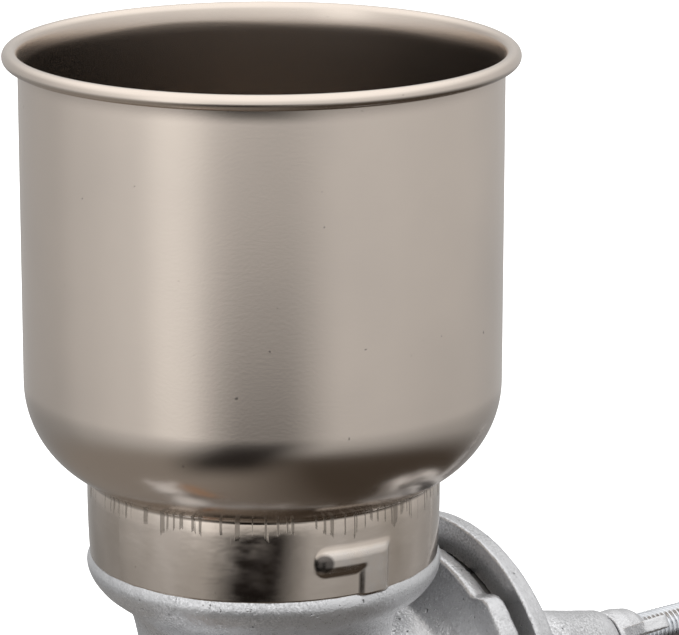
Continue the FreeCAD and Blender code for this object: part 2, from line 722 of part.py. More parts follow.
def crank_arm():
    """Flat cast arm that hangs from its hub, with an eye for the grip spindle."""
    x0, x1 = CRANK_X
    wide, narrow = CRANK_ARM_HALF
    reach = -CRANK_REACH
    hub = rod_x(CRANK_HUB_R, x0, x1)
    arm = slab_x([(-wide, 0.0, 0), (-narrow, reach, 0), (narrow, reach, 0), (wide, 0.0, 0)],
                 x0 + 3, x1 - 3)
    eye = rod_x(CRANK_EYE_R, x0 + 1, x1 - 1, 0, AXIS_Z + reach)
    square = square_x(CRANK_SQUARE_HALF + CRANK_SQUARE_GAP, x0 - 1, x1 + 1)
    hole = rod_x(SPINDLE_R, x0 - 1, x1 + 1, 0, AXIS_Z + reach)
    return less(joined([hub, arm, eye]), [square, hole])


def crank_washer():
    """Washer between the crank's thumb screw and the end of the shaft."""
    ring = rod_x(11.0, CRANK_SEAT_X - CRANK_WASHER, CRANK_SEAT_X)
    return less(ring, [rod_x(CRANK_SCREW_R + 0.3, CRANK_SEAT_X - 3, CRANK_SEAT_X + 1)])


def crank_wing_screw():
    """Thumb screw that holds the crank on its square seat."""
    seat = CRANK_SEAT_X - CRANK_WASHER
    head = along(thumb_head(*CRANK_HEAD), Vector(seat, 0, AXIS_Z), -X_AXIS)
    shank = rod_x(CRANK_SCREW_R, seat - 1, CRANK_SEAT_X + CRANK_SCREW_DEPTH)
    return joined([head, shank])


def grip_spindle():
    """Headed pin riveted into the crank eye; the grip turns on it."""
    z = AXIS_Z - CRANK_REACH
    inner = CRANK_X[0] + 1
    tip = inner - GRIP_GAP - GRIP_LENGTH - 1.0
    pin = rod_x(SPINDLE_R, tip, CRANK_X[1] + 0.5, 0, z)
    head = turned([(0, 0), (0, 7.0), (1.5, 7.0), (3.5, 4.5), (4.2, 0)],
                  Vector(tip, 0, z), -X_AXIS)
    rivet = turned([(0, 0), (0, 6.0), (1.2, 5.6), (2.4, 3.0), (2.4, 0)],
                   Vector(CRANK_X[1] - 1, 0, z), X_AXIS)
    return joined([pin, head, rivet])


def grip_washer():
    """Washer between the wooden grip and the crank's eye."""
    z = AXIS_Z - CRANK_REACH
    inner = CRANK_X[0] + 1
    ring = rod_x(8.0, inner - GRIP_WASHER, inner, 0, z)
    return less(ring, [rod_x(SPINDLE_R, inner - 2, inner + 1, 0, z)])


def crank_grip():
    """Turned wooden grip, fuller towards the hand end, drilled for the spindle."""
    z = AXIS_Z - CRANK_REACH
    length = GRIP_LENGTH
    start = Vector(CRANK_X[0] + 1 - GRIP_GAP, 0, z)
    outline = [
        (0.0, 0.0, 0.0), (0.0, 10.5, 2.0), (5.0, 11.5, 2.0), (8.0, 9.5, 4.0), (24.0, 13.5, 40.0),
        (length * 0.66, 16.5, 60.0), (length - 2, 13.5, 10.0), (length, 0.0, 0.0),
    ]
    profile = Part.Face(rounded_wire(outline))
    solid = profile.revolve(Vector(0, 0, 0), X_AXIS, 360)
    solid = along(solid, start, -X_AXIS)
    return less(solid, [rod_x(GRIP_BORE_R, start.x - length - 1, start.x + 1, 0, z)])


# ---- table clamp --------------------------------------------------------------------

def clamp_foot():
    """Swivelling pad on the tip of the clamp screw."""
    z1 = FOOT_TOP_Z
    z0 = z1 - FOOT_THICK
    pad = turned([(z0, 0), (z0, 8.0), (z0 + 3, FOOT_R), (z1 - 0.8, FOOT_R), (z1, FOOT_R - 0.8),
                  (z1, 0)], Vector(CLAMP_X, 0, 0), Z_AXIS)
    return less(pad, [rod_z(CLAMP_TIP_R + 0.1, z0 - 1, z1 - 2.4, CLAMP_X)])


def clamp_pin_rod(half_length):
    """Cross pin of the clamp screw, lying along X."""
    return rod_x(CLAMP_PIN_R, CLAMP_X - half_length, CLAMP_X + half_length, 0, CLAMP_PIN_Z)


def clamp_screw():
    """Clamp screw: turned-down tip inside the pad, thread, and an end for the wings."""
    tip = FOOT_TOP_Z - 2.6
    shoulder = FOOT_TOP_Z - FOOT_THICK - 0.4
    end = CLAMP_WING_Z - 12.0
    body = joined([
        rod_z(CLAMP_TIP_R, shoulder - 1, tip, CLAMP_X),
        rod_z(SCREW_R, CLAMP_WING_Z + 2, shoulder, CLAMP_X),
        rod_z(CLAMP_TAIL_R, end, CLAMP_WING_Z + 3, CLAMP_X),
    ])
    return less(body, [clamp_pin_rod(8.0)])


def clamp_screw_wings():
    """Cast thumb head pinned on the lower end of the clamp screw."""
    head = along(thumb_head(*CLAMP_HEAD), Vector(CLAMP_X, 0, CLAMP_WING_Z), -Z_AXIS)
    tail = rod_z(CLAMP_TAIL_R, CLAMP_WING_Z - 12, CLAMP_WING_Z + 1, CLAMP_X)
    return less(head, [tail, clamp_pin_rod(14.0)])


def clamp_wing_pin():
    """Pin that keeps the thumb head on the clamp screw."""
    return clamp_pin_rod(9.6)


# ---- output -------------------------------------------------------------------------

NODES = [
    body_casting, hopper, fixed_grinding_plate, fixed_plate_screws, moving_grinding_plate,
    moving_plate_rivets, rotating_disc, auger, disc_drive_pin, thrust_ball, yoke_frame,
    yoke_bolt_washers, yoke_wing_bolts, adjusting_screw, adjusting_screw_wings,
    adjusting_wing_pin, lock_wing_nut, crank_arm, crank_washer, crank_wing_screw, grip_spindle,
    grip_washer, crank_grip, clamp_foot, clamp_screw, clamp_screw_wings, clamp_wing_pin,
]

os.makedirs("parts", exist_ok=True)
for make in NODES:
    shape = make()
    name = make.__name__
    shape.exportStep("parts/" + name + ".step")
    box = shape.BoundBox
    print("%-24s solids %d valid %s volume %9.0f  x %.1f..%.1f y %.1f..%.1f z %.1f..%.1f" % (
        name, len(shape.Solids), shape.isValid(), shape.Volume,
        box.XMin, box.XMax, box.YMin, box.YMax, box.ZMin, box.ZMax))
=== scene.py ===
"""Hand crank coffee grinder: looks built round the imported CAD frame.

Everything is in metres in the row frame: +Z up along the hopper, +X along the mill axis.
"""
import json
import math

import bmesh
import bpy
import numpy as np
from mathutils import Matrix, Vector


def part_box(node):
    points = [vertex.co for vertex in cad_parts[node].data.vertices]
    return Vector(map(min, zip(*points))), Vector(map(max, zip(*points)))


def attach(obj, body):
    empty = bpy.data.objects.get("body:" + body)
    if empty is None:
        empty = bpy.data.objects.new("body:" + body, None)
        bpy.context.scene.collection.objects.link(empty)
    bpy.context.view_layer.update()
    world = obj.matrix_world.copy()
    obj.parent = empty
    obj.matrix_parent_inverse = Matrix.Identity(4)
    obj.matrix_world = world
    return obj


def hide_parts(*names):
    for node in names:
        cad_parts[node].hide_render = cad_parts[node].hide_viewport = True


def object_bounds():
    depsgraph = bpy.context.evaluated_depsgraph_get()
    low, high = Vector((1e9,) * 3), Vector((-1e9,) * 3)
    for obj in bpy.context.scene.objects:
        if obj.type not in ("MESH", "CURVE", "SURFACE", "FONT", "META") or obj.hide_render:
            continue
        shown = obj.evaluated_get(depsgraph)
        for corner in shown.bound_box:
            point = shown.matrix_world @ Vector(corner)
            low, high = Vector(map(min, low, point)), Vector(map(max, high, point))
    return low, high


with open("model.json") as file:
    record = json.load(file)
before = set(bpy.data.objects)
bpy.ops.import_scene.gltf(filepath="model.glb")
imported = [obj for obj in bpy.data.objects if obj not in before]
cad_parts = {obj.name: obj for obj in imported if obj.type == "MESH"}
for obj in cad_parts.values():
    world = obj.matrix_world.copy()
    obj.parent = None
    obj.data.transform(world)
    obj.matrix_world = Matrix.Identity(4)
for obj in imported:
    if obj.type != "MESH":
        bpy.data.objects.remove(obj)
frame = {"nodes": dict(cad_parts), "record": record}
CAD_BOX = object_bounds()
NODES = frame["nodes"]
MM = 0.001

# Places read from the frame
HOPPER_LOW, HOPPER_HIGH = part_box("hopper")
SCREW_LOW, SCREW_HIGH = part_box("adjusting_screw")
CLAMP_LOW, CLAMP_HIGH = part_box("clamp_screw")
GRIP_LOW, GRIP_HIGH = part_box("crank_grip")
RIM_R = HOPPER_HIGH.x
RIM_Z = HOPPER_HIGH.z - 2.5 * MM
LEDGE_Z = HOPPER_LOW.z
AXIS_Z = (SCREW_LOW.z + SCREW_HIGH.z) / 2

# Hopper sheet: wall, flare under the rolled rim, round shoulder, crease and neck
SHEET = 0.6 * MM
HALF_SHEET = SHEET / 2
WALL_R = 67.6 * MM
FLARE_R = 30.0 * MM
FLARE_LEAN = math.radians(12.4)
CURL_END_DEGREES = -125
SHOULDER_R = 29.7 * MM
SHOULDER_Z = RIM_Z - 92.5 * MM
CREASE_R = 50.6 * MM
CREASE_Z = RIM_Z - 119.4 * MM
NECK_R = 50.0 * MM
NECK_BELLY = 0.26 * MM
NECK_BELLY_DROP = 5.5 * MM
NECK_TAPER = 0.55 * MM

# Bayonet channel: angles about the hopper axis, heights, and how far it stands out
CHANNEL_START = math.radians(-111.0)
CHANNEL_LEG = math.radians(-96.3)
CHANNEL_END = math.radians(-82.7)
CHANNEL_LOW = LEDGE_Z + 6.6 * MM
CHANNEL_HIGH = LEDGE_Z + 15.1 * MM
CHANNEL_DEPTH = 1.3 * MM
CHANNEL_SIDE = 3.0 * MM
LEG_RUN_OUT = 12 * MM
CHANNEL_CORNER_R = 3.4 * MM
LEG_CORNER_R = 1.6 * MM
# Radius of the painted shade at the channel's closed end
END_SHADE_R = 4.4 * MM

# Screw threads
PITCH = 1.75 * MM
THREAD_R = 6.0 * MM
THREAD_DEPTH = 0.95 * MM
THREAD_END_X = 166.0 * MM
STATIONS_A_TURN = 12
TIP_CHAMFER = 1.4 * MM
STEP_LENGTH = 8 * MM
SCREW_NECK_R = 3.9 * MM
CLAMP_TIP_R = 4.0 * MM
CLAMP_TAIL_R = 5.0 * MM

# Camera: mill axis turned away from the picture plane, long lens, slightly from above
MILL_TURN = math.radians(36.95)
CAMERA_REACH = 1.0495
CAMERA_RISE = 0.1992
CAMERA_PITCH = math.radians(14.67)
CAMERA_PAN = math.radians(1.177)
CAMERA_ROLL = math.radians(0.076)
LENS_MM = 203.97
SENSOR_MM = 36.0

# Floor: half its width, and how far it lies under the lowest point
FLOOR_HALF = 12.0
FLOOR_DROP = 1 * MM


# ---- camera, floor and light ----------------------------------------------------------

def level(x, y, z):
    """A direction given across, into and up the picture, in the row frame."""
    c, s = math.cos(MILL_TURN), math.sin(MILL_TURN)
    return Vector((x * c + y * s, -x * s + y * c, z))


def make_camera():
    """The photograph's view: fixed place, pitch, pan and a trace of roll."""
    camera = bpy.data.objects.new("camera", bpy.data.cameras.new("camera"))
    bpy.context.scene.collection.objects.link(camera)
    camera.data.lens = LENS_MM
    camera.data.sensor_width = SENSOR_MM
    camera.data.clip_start = 0.01
    camera.data.clip_end = 100.0
    p, y = CAMERA_PITCH, CAMERA_PAN
    forward = level(math.sin(y) * math.cos(p), math.cos(y) * math.cos(p), -math.sin(p))
    right = level(math.cos(y), -math.sin(y), 0.0)
    up = right.cross(forward)
    c, s = math.cos(CAMERA_ROLL), math.sin(CAMERA_ROLL)
    right, up = right * c + up * s, up * c - right * s
    turn = Matrix((right, up, -forward)).transposed().to_4x4()
    place = level(0.0, -CAMERA_REACH, 0.0) + Vector((0, 0, RIM_Z + CAMERA_RISE))
    camera.matrix_world = Matrix.Translation(place) @ turn
    bpy.context.scene.camera = camera


class Shader:
    """Short way to lay shader nodes: each call adds one node and returns its output."""

    def __init__(self, tree):
        self.tree = tree
        tree.nodes.clear()

    def node(self, kind, out=0, inputs=None, **settings):
        made = self.tree.nodes.new("ShaderNode" + kind)
        for name, value in settings.items():
            setattr(made, name, value)
        for key, value in (inputs or {}).items():
            if isinstance(value, bpy.types.NodeSocket):
                self.tree.links.new(value, made.inputs[key])
            else:
                made.inputs[key].default_value = value
        return made.outputs[out] if made.outputs else None

    def math(self, operation, a, b=0.0, c=0.0):
        return self.node("Math", inputs={0: a, 1: b, 2: c}, operation=operation)

    def split(self, vector):
        """The x, y and z of a vector."""
        return self.node("SeparateXYZ", inputs={0: vector}).node.outputs

    def fade(self, value, low, high, to_low=0.0, to_high=1.0):
        """Value mapped from low..high to to_low..to_high, held outside that range."""
        return self.node("MapRange", inputs={
            "Value": value, "From Min": low, "From Max": high, "To Min": to_low,
            "To Max": to_high})

    def ramp(self, factor, stops):
        """Eased grey ramp; stops are (position, grey)."""
        out = self.node("ValToRGB", inputs={"Fac": factor})
        ramp = out.node.color_ramp
        ramp.interpolation = "EASE"
        while len(ramp.elements) < len(stops):
            ramp.elements.new(0.5)
        for element, (position, grey) in zip(ramp.elements, stops):
            element.position = position
            element.color = (grey, grey, grey, 1.0)
        return out

    def mix(self, factor, a, b, blend="MIX"):
        """Colour a blended with b by a factor; each is a socket or plain numbers."""
        made = self.tree.nodes.new("ShaderNodeMix")
        made.data_type = "RGBA"
        made.blend_type = blend
        for index, value in ((0, factor), (6, a), (7, b)):
            if isinstance(value, bpy.types.NodeSocket):
                self.tree.links.new(value, made.inputs[index])
            elif index == 0:
                made.inputs[index].default_value = value
            else:
                made.inputs[index].default_value = (*value, 1.0)
        return made.outputs[2]

    def noise(self, vector, scale, detail=3.0, rough=0.5):
        """Soft noise around 0.5, with about scale lumps to the metre."""
        return self.node("TexNoise", inputs={
            "Vector": vector, "Scale": scale, "Detail": detail, "Roughness": rough})

    def stretched(self, vector, scale):
        """The vector multiplied by a scale for each axis."""
        return self.node("Mapping", inputs={"Vector": vector, "Scale": scale})


# Brightness of the tent round the object: 0.5 is behind the camera, 1 runs round to the right
AZIMUTH_STOPS = [
    (0.00, 0.53), (0.10, 0.47), (0.18, 0.51), (0.24, 0.67), (0.32, 0.80), (0.45, 0.86),
    (0.56, 0.76), (0.64, 0.72), (0.80, 0.64), (0.90, 0.54), (1.00, 0.55),
]
LAMP_STOPS = [(0.33, 0.0), (0.375, 0.36), (0.405, 0.28), (0.44, 0.0)]
# The same by height: 0 is straight down, 1 is straight up
ELEVATION_STOPS = [
    (0.20, 0.50), (0.31, 0.62), (0.345, 0.70), (0.37, 0.93), (0.42, 1.06), (0.60, 1.15),
    (1.00, 1.35),
]
# Dark gap behind the camera: place and half widths in turns, and how it leans with height
GAP_CENTRE = 0.502
GAP_INNER = 0.034
GAP_OUTER = 0.098
GAP_SKEW = 0.15
GAP_PIVOT = 0.27
GAP_COLOUR = (0.012, 0.010, 0.009)
# Colour from below, at the left and the right of the camera
LOW_LEFT = (0.27, 0.25, 0.23)
LOW_RIGHT = (0.060, 0.048, 0.038)
WHITE = (1.0, 1.0, 1.0)
# Heights, as z of the direction, between which each part of the tent fades in
LAMP_FADE = (-0.31, -0.27)
TOP_FADE = (0.24, 0.70)
GROUND_FADE = (-0.42, -0.60)
GAP_TOP_FADE = (-0.20, -0.285)
GAP_FOOT_FADE = (-0.86, -0.66)
# The same across the view, from its left to its right
GROUND_SIDES = (-0.35, 0.30)


def studio_light():
    """Even tent of soft light with a lamp, a dark gap behind the camera and a dim ground."""
    world = bpy.data.worlds.new("studio")
    bpy.context.scene.world = world
    world.use_nodes = True
    sh = Shader(world.node_tree)
    facing = level(0.0, -1.0, 0.0)
    turned = sh.node("Mapping", inputs={
        "Vector": sh.node("TexCoord", out="Generated"),
        "Rotation": (0, 0, -math.atan2(facing.y, facing.x))})
    x, y, z = sh.split(turned)
    turn = sh.math("MULTIPLY_ADD", sh.math("ARCTAN2", y, x), 0.5 / math.pi, 0.5)
    height = sh.math("MULTIPLY_ADD", z, 0.5, 0.5)
    lamp = sh.math("MULTIPLY", sh.ramp(turn, LAMP_STOPS), sh.fade(z, *LAMP_FADE))
    around = sh.mix(1.0, sh.ramp(turn, AZIMUTH_STOPS), lamp, "ADD")
    around = sh.mix(sh.fade(z, *TOP_FADE), around, WHITE)
    colour = sh.mix(1.0, around, sh.ramp(height, ELEVATION_STOPS), "MULTIPLY")
    ground = sh.mix(sh.fade(y, *GROUND_SIDES), LOW_LEFT, LOW_RIGHT)
    colour = sh.mix(sh.fade(z, *GROUND_FADE), colour, ground)
    colour = sh.mix(dark_gap(sh, turn, z), colour, GAP_COLOUR)
    back = sh.node("Background", inputs={"Color": colour, "Strength": 1.0})
    sh.node("OutputWorld", inputs={"Surface": back})


def dark_gap(sh, turn, z):
    """Share of the dark gap in a direction."""
    skewed = sh.math("MULTIPLY_ADD", sh.math("ADD", z, GAP_PIVOT), -GAP_SKEW, turn)
    aside = sh.math("ABSOLUTE", sh.math("SUBTRACT", skewed, GAP_CENTRE))
    gap = sh.fade(aside, GAP_OUTER, GAP_INNER)
    gap = sh.math("MULTIPLY", gap, sh.fade(z, *GAP_TOP_FADE))
    return sh.math("MULTIPLY", gap, sh.fade(z, *GAP_FOOT_FADE))


def pale_floor(sh, place):
    """Nearly white and slightly uneven, with a faint glow."""
    colour = sh.ramp(sh.noise(place, 2.0), [(0.0, 0.90), (1.0, 0.94)])
    return sh.node("BsdfPrincipled", inputs={
        "Base Color": colour, "Roughness": 0.7, "Emission Color": (1, 1, 1, 1),
        "Emission Strength": 0.55})


def make_floor():
    """Wide pale sheet just under the object, left out of the metal's reflections."""
    x = y = FLOOR_HALF
    z = CAD_BOX[0].z - FLOOR_DROP
    mesh = bpy.data.meshes.new("floor")
    mesh.from_pydata([(-x, -y, z), (x, -y, z), (x, y, z), (-x, y, z)], [], [(0, 1, 2, 3)])
    mesh.materials.append(material("floor", pale_floor))
    floor = new_object("floor", mesh)
    floor.visible_glossy = False


# ---- materials ------------------------------------------------------------------------

def material(name, build):
    """Material whose surface build(sh, place) lays out; place is the point in the row frame."""
    made = bpy.data.materials.new(name)
    made.use_nodes = True
    sh = Shader(made.node_tree)
    place = sh.node("TexCoord", out="Object")
    sh.node("OutputMaterial", inputs={"Surface": build(sh, place)})
    return made


def bumped(sh, height, distance, strength=1.0, normal=None):
    """Normal bumped by a height from 0 to 1 that stands for a distance."""
    inputs = {"Height": height, "Distance": distance, "Strength": strength}
    if normal is not None:
        inputs["Normal"] = normal
    return sh.node("Bump", inputs=inputs)


# Colours of the hopper's sheet, its neck and its channel
STEEL_WARM = (0.735, 0.645, 0.565)
STEEL_DULL = (0.68, 0.60, 0.53)
STEEL_FLECK = (0.20, 0.17, 0.15)
# Painted shade that darkens the bowl's inner face
STEEL_INSIDE_SHADE = (0.16, 0.135, 0.115)
NECK_BUFFED = (0.72, 0.65, 0.58)
NECK_AGED = (0.52, 0.445, 0.375)
NECK_SCRATCH = (0.30, 0.26, 0.22)
CHANNEL_SCUFF = (0.60, 0.585, 0.57)
# Painted shade at the channel's closed end
CHANNEL_END_SHADE = (0.07, 0.06, 0.055)
# Roughness of the wall under the rim and at the shoulder, and of the neck. The wall stays
# under 0.27, above which the denoiser counts it as matt and would draw a line across it.
WALL_ROUGH_HIGH = 0.25
WALL_ROUGH_LOW = 0.19
WALL_ROUGH_REACH = 62 * MM
NECK_ROUGH = 0.10
# Lengths of the draw scratches under the crease
SCRATCH_SHORTEST = 2.2 * MM
SCRATCH_LONGEST = 8.5 * MM
SCRATCH_FADE = 1.2 * MM


def sheet_zones(sh, place):
    """Height, place unrolled round the neck, and shares of the neck and of the bowl's inner face,
    which takes painted shade.
    """
    x, y, z = sh.split(place)
    angle = sh.math("ARCTAN2", y, x)
    unrolled = sh.node("CombineXYZ", inputs={0: sh.math("MULTIPLY", angle, NECK_R), 2: z})
    radius = sh.node("VectorMath", out="Value", operation="LENGTH", inputs={
        0: sh.node("CombineXYZ", inputs={0: x, 1: y})})
    neck = sh.fade(z, CREASE_Z + 1.0 * MM, CREASE_Z - 0.5 * MM)
    inner_face = sh.fade(radius, WALL_R - 0.45 * MM, WALL_R - 0.55 * MM)
    bowl = sh.fade(z, CREASE_Z + 27 * MM, CREASE_Z + 30 * MM)
    return z, unrolled, neck, sh.math("MULTIPLY", inner_face, bowl)


def draw_scratches(sh, z, unrolled, neck):
    """Upright scratches that start at the crease and end at uneven depths."""
    ragged = sh.noise(sh.stretched(unrolled, (160, 1, 1)), 1.0, 3.0, 0.7)
    reach = sh.fade(ragged, 0.30, 0.72, SCRATCH_SHORTEST, SCRATCH_LONGEST)
    left_over = sh.math("SUBTRACT", reach, sh.math("SUBTRACT", CREASE_Z, z))
    zone = sh.math("MULTIPLY", sh.fade(left_over, 0.0, SCRATCH_FADE), neck)
    lines = sh.noise(sh.stretched(unrolled, (950, 1, 18)), 1.0, 1.0)
    return sh.math("MULTIPLY", sh.fade(lines, 0.56, 0.61), zone)


def channel_marks(sh, place, smudge):
    """Scuffs on the pressed channel, and painted shade at its closed end."""
    pressed = sh.node("Attribute", out="Fac", attribute_name="pressed")
    scuff = sh.fade(sh.noise(place, 260.0, 2.0), 0.35, 0.70, 0.25, 0.8)
    scuff = sh.math("MULTIPLY", scuff, sh.fade(pressed, 0.05, 0.6))
    end_shade = sh.node("Attribute", out="Fac", attribute_name="end_shade")
    return scuff, sh.fade(sh.math("MULTIPLY_ADD", smudge, 0.25, end_shade), 0.35, 0.65)


def hopper_sheet(sh, place):
    """Satin drawn stainless: grained wall, polished neck with draw scratches at its top."""
    z, unrolled, neck, inside_shade = sheet_zones(sh, place)
    smudge = sh.noise(place, 22.0, 4.0)
    fleck = sh.fade(sh.noise(place, 520.0, 1.0), 0.80, 0.82)
    scratch = draw_scratches(sh, z, unrolled, neck)
    scuff, end_shade = channel_marks(sh, place, smudge)
    buffed = sh.noise(sh.stretched(unrolled, (120, 1, 220)), 1.0, 2.0)
    patch = sh.math("MULTIPLY", sh.fade(buffed, 0.42, 0.72), neck)
    aged = sh.fade(sh.noise(sh.stretched(unrolled, (60, 1, 25)), 1.0, 2.0), 0.3, 0.7)

    colour = sh.mix(sh.fade(smudge, 0.35, 0.75), STEEL_WARM, STEEL_DULL)
    # The share for the bowl's inner face paints shade into its colour
    for share, strength, shade in (
            (fleck, 0.6, STEEL_FLECK), (inside_shade, 0.62, STEEL_INSIDE_SHADE),
            (patch, 0.35, NECK_BUFFED), (aged, neck, NECK_AGED),
            (scratch, 0.75, NECK_SCRATCH), (scuff, 0.6, CHANNEL_SCUFF),
            # Painted shade at the channel's closed end
            (end_shade, 0.85, CHANNEL_END_SHADE)):
        colour = sh.mix(sh.math("MULTIPLY", share, strength), colour, shade)

    grain = sh.noise(sh.stretched(unrolled, (1500, 1500, 1100)), 1.0, 2.0)
    satin = sh.math("MULTIPLY", grain, sh.math("MULTIPLY_ADD", neck, -0.9, 1.0))
    normal = bumped(sh, satin, 0.012 * MM, 0.6)
    normal = bumped(sh, scratch, 0.10 * MM, 1.0, normal)
    normal = bumped(sh, patch, 0.10 * MM, 0.20, normal)

    wall_rough = sh.fade(
        z, SHOULDER_Z + WALL_ROUGH_REACH, SHOULDER_Z, WALL_ROUGH_HIGH, WALL_ROUGH_LOW)
    rough = sh.math(
        "MULTIPLY_ADD", sh.math("SUBTRACT", NECK_ROUGH, wall_rough), neck, wall_rough)
    for share, more in ((smudge, 0.02), (patch, 0.10), (scratch, 0.30), (scuff, 0.16)):
        rough = sh.math("MULTIPLY_ADD", share, more, rough)
    return sh.node("BsdfPrincipled", inputs={
        "Base Color": colour, "Metallic": 1.0, "Roughness": rough, "Normal": normal})


# Dark specks in the tin, its pits, and the most that a colour is brightened to
TIN_CRUMB = (0.22, 0.22, 0.22)
TIN_PIT = (0.10, 0.10, 0.10)
BRIGHTEST = 0.97


def tinned(base, rough, pits, sparkle):
    """Hot-tinned sand casting: granular skin, small dark pits, uneven shine."""
    def build(sh, place):
        cloud = sh.noise(place, 45.0, 4.0, 0.6)
        grains = sh.noise(place, 1400.0, 3.0, 0.65)
        lumps = sh.noise(place, 350.0, 3.0, 0.6)
        pit = sh.fade(sh.noise(place, 520.0, 2.0), 0.70, 0.76, 0.0, pits)
        dull = tuple(0.80 * c for c in base)
        bright = tuple(min(1.3 * c, BRIGHTEST) for c in base)
        colour = sh.mix(sh.fade(cloud, 0.35, 0.68), base, dull)
        glint = sh.fade(grains, 0.52, 0.62, 0.0, 0.8)
        glint = sh.math("MULTIPLY", glint, sh.fade(cloud, 0.44, 0.62))
        colour = sh.mix(glint, colour, bright)
        crumb = sh.fade(grains, 0.46, 0.38, 0.0, 0.5)
        crumb = sh.math("MULTIPLY", crumb, sh.fade(cloud, 0.42, 0.64))
        colour = sh.mix(crumb, colour, TIN_CRUMB)
        colour = sh.mix(pit, colour, TIN_PIT)
        shine = sh.fade(grains, 0.3, 0.7, rough + sparkle, rough - sparkle)
        height = sh.math("ADD", sh.math("MULTIPLY", grains, 0.35), lumps)
        height = sh.math("SUBTRACT", height, sh.math("MULTIPLY", pit, 1.5))
        normal = bumped(sh, height, 0.22 * MM, 0.9)
        return sh.node("BsdfPrincipled", inputs={
            "Base Color": colour, "Metallic": 0.9, "Roughness": shine, "Normal": normal})
    return build


def plain_metal(base, rough):
    """Machined or plated steel with fine tool marks and a few dull spots."""
    def build(sh, place):
        marks = sh.noise(place, 700.0, 2.0)
        cloud = sh.noise(place, 120.0, 3.0)
        dark = tuple(0.82 * c for c in base)
        colour = sh.mix(sh.fade(cloud, 0.4, 0.7), base, dark)
        shine = sh.fade(cloud, 0.0, 1.0, rough * 0.8, rough * 1.3)
        normal = bumped(sh, marks, 0.02 * MM, 0.6)
        return sh.node("BsdfPrincipled", inputs={
            "Base Color": colour, "Metallic": 1.0, "Roughness": shine, "Normal": normal})
    return build


# Wood of the grip: its pith lies off the grip's middle, nearer the camera and above it
PITH = Vector((0.0, -6 * MM, 22 * MM))
WOOD_LIGHT = (0.42, 0.22, 0.09)
WOOD_RING = (0.23, 0.105, 0.035)
WOOD_STREAK = (0.16, 0.07, 0.025)
WOOD_PORE = (0.07, 0.03, 0.012)


def varnished_wood(sh, place):
    """Turned hardwood with its grain along the grip, under a thin worn varnish."""
    pith = (GRIP_LOW + GRIP_HIGH) / 2 + PITH
    local = sh.node("Mapping", inputs={"Vector": place, "Location": -pith})
    wobble = sh.noise(sh.stretched(local, (12, 90, 90)), 1.0, 2.0)
    rings = sh.node("TexWave", out="Fac", wave_type="RINGS", rings_direction="X", inputs={
        "Vector": sh.stretched(local, (0.02, 1, 1)), "Scale": 130.0, "Distortion": 2.2,
        "Detail": 3.0, "Detail Scale": 1.4})
    pores = sh.noise(sh.stretched(local, (60, 1900, 1900)), 1.0, 2.0)
    colour = sh.mix(rings, WOOD_LIGHT, WOOD_RING)
    colour = sh.mix(sh.fade(wobble, 0.4, 0.8, 0.0, 0.6), colour, WOOD_STREAK)
    colour = sh.mix(sh.fade(pores, 0.60, 0.72, 0.0, 0.75), colour, WOOD_PORE)
    normal = bumped(sh, pores, 0.05 * MM, 0.5)
    rough = sh.fade(wobble, 0.0, 1.0, 0.28, 0.5)
    return sh.node("BsdfPrincipled", inputs={
        "Base Color": colour, "Roughness": rough, "Normal": normal,
        "Coat Weight": 0.35, "Coat Roughness": 0.22})


MATERIALS = {
    "hopper_steel": material("hopper_steel", hopper_sheet),
    "tinned_casting": material("tinned_casting", tinned((0.66, 0.66, 0.67), 0.36, 0.8, 0.12)),
    "tinned_hardware": material("tinned_hardware", tinned((0.68, 0.68, 0.69), 0.30, 0.3, 0.08)),
    "plate_iron": material("plate_iron", tinned((0.34, 0.33, 0.32), 0.42, 0.9, 0.08)),
    "zinc_steel": material("zinc_steel", plain_metal((0.74, 0.76, 0.79), 0.20)),
    "screw_steel": material("screw_steel", plain_metal((0.46, 0.45, 0.44), 0.34)),
    "bearing_steel": material("bearing_steel", plain_metal((0.75, 0.75, 0.76), 0.08)),
    "grip_wood": material("grip_wood", varnished_wood),
}
SLOTS = {part["node"]: part["material_slot"] for part in frame["record"]["subparts"]}


def finish_piece(piece, node):
    """Give a replacement piece its node's finish and body, and hide the node."""
    piece.data.materials.clear()
    piece.data.materials.append(MATERIALS[SLOTS[node]])
    for polygon in piece.data.polygons:
        polygon.use_smooth = True
    bodies = frame["record"]["behaviour"]["bodies"]
    body = next(name for name, members in bodies.items() if node in members)
    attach(piece, body)
    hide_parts(node)


def new_object(name, mesh):
    """A mesh placed in the scene."""
    piece = bpy.data.objects.new(name, mesh)
    bpy.context.scene.collection.objects.link(piece)
    return piece


# ---- hopper ---------------------------------------------------------------------------

def arc(centre, radius, start, end, count):
    """Points (radius from the axis, height) along an arc, angles in degrees."""
    turn = np.radians(np.linspace(start, end, count))
    return np.stack([centre[0] + radius * np.cos(turn), centre[1] + radius * np.sin(turn)], 1)


def rolled_rim():
    """Rolled edge and the flared top of the wall, and the height where the flare starts."""
    wall = WALL_R - HALF_SHEET
    join_r = wall + FLARE_R * (1 - math.cos(FLARE_LEAN))
    curl = (RIM_R - HALF_SHEET - join_r) / (1 + math.cos(FLARE_LEAN))
    curl_z = HOPPER_HIGH.z - 0.1 * MM - HALF_SHEET - curl
    join_z = curl_z + curl * math.sin(FLARE_LEAN)
    flare_z = join_z - FLARE_R * math.sin(FLARE_LEAN)
    top = 180 - math.degrees(FLARE_LEAN)
    roll = arc((join_r + curl * math.cos(FLARE_LEAN), curl_z), curl, CURL_END_DEGREES, top, 22)
    flare = arc((wall + FLARE_R, flare_z), FLARE_R, top, 180, 8)
    return np.concatenate([roll[:-1], flare]), flare_z


def neck_radius(drop):
    """Outside radius of the neck at a distance below the crease: a slight belly, then taper."""
    share = drop / NECK_BELLY_DROP
    upper = NECK_R + NECK_BELLY * (1 - (share - 1) ** 2)
    below = (drop - NECK_BELLY_DROP) / (CREASE_Z - LEDGE_Z - NECK_BELLY_DROP)
    lower = NECK_R + NECK_BELLY - NECK_TAPER * below ** 2
    return np.where(share < 1, upper, lower)


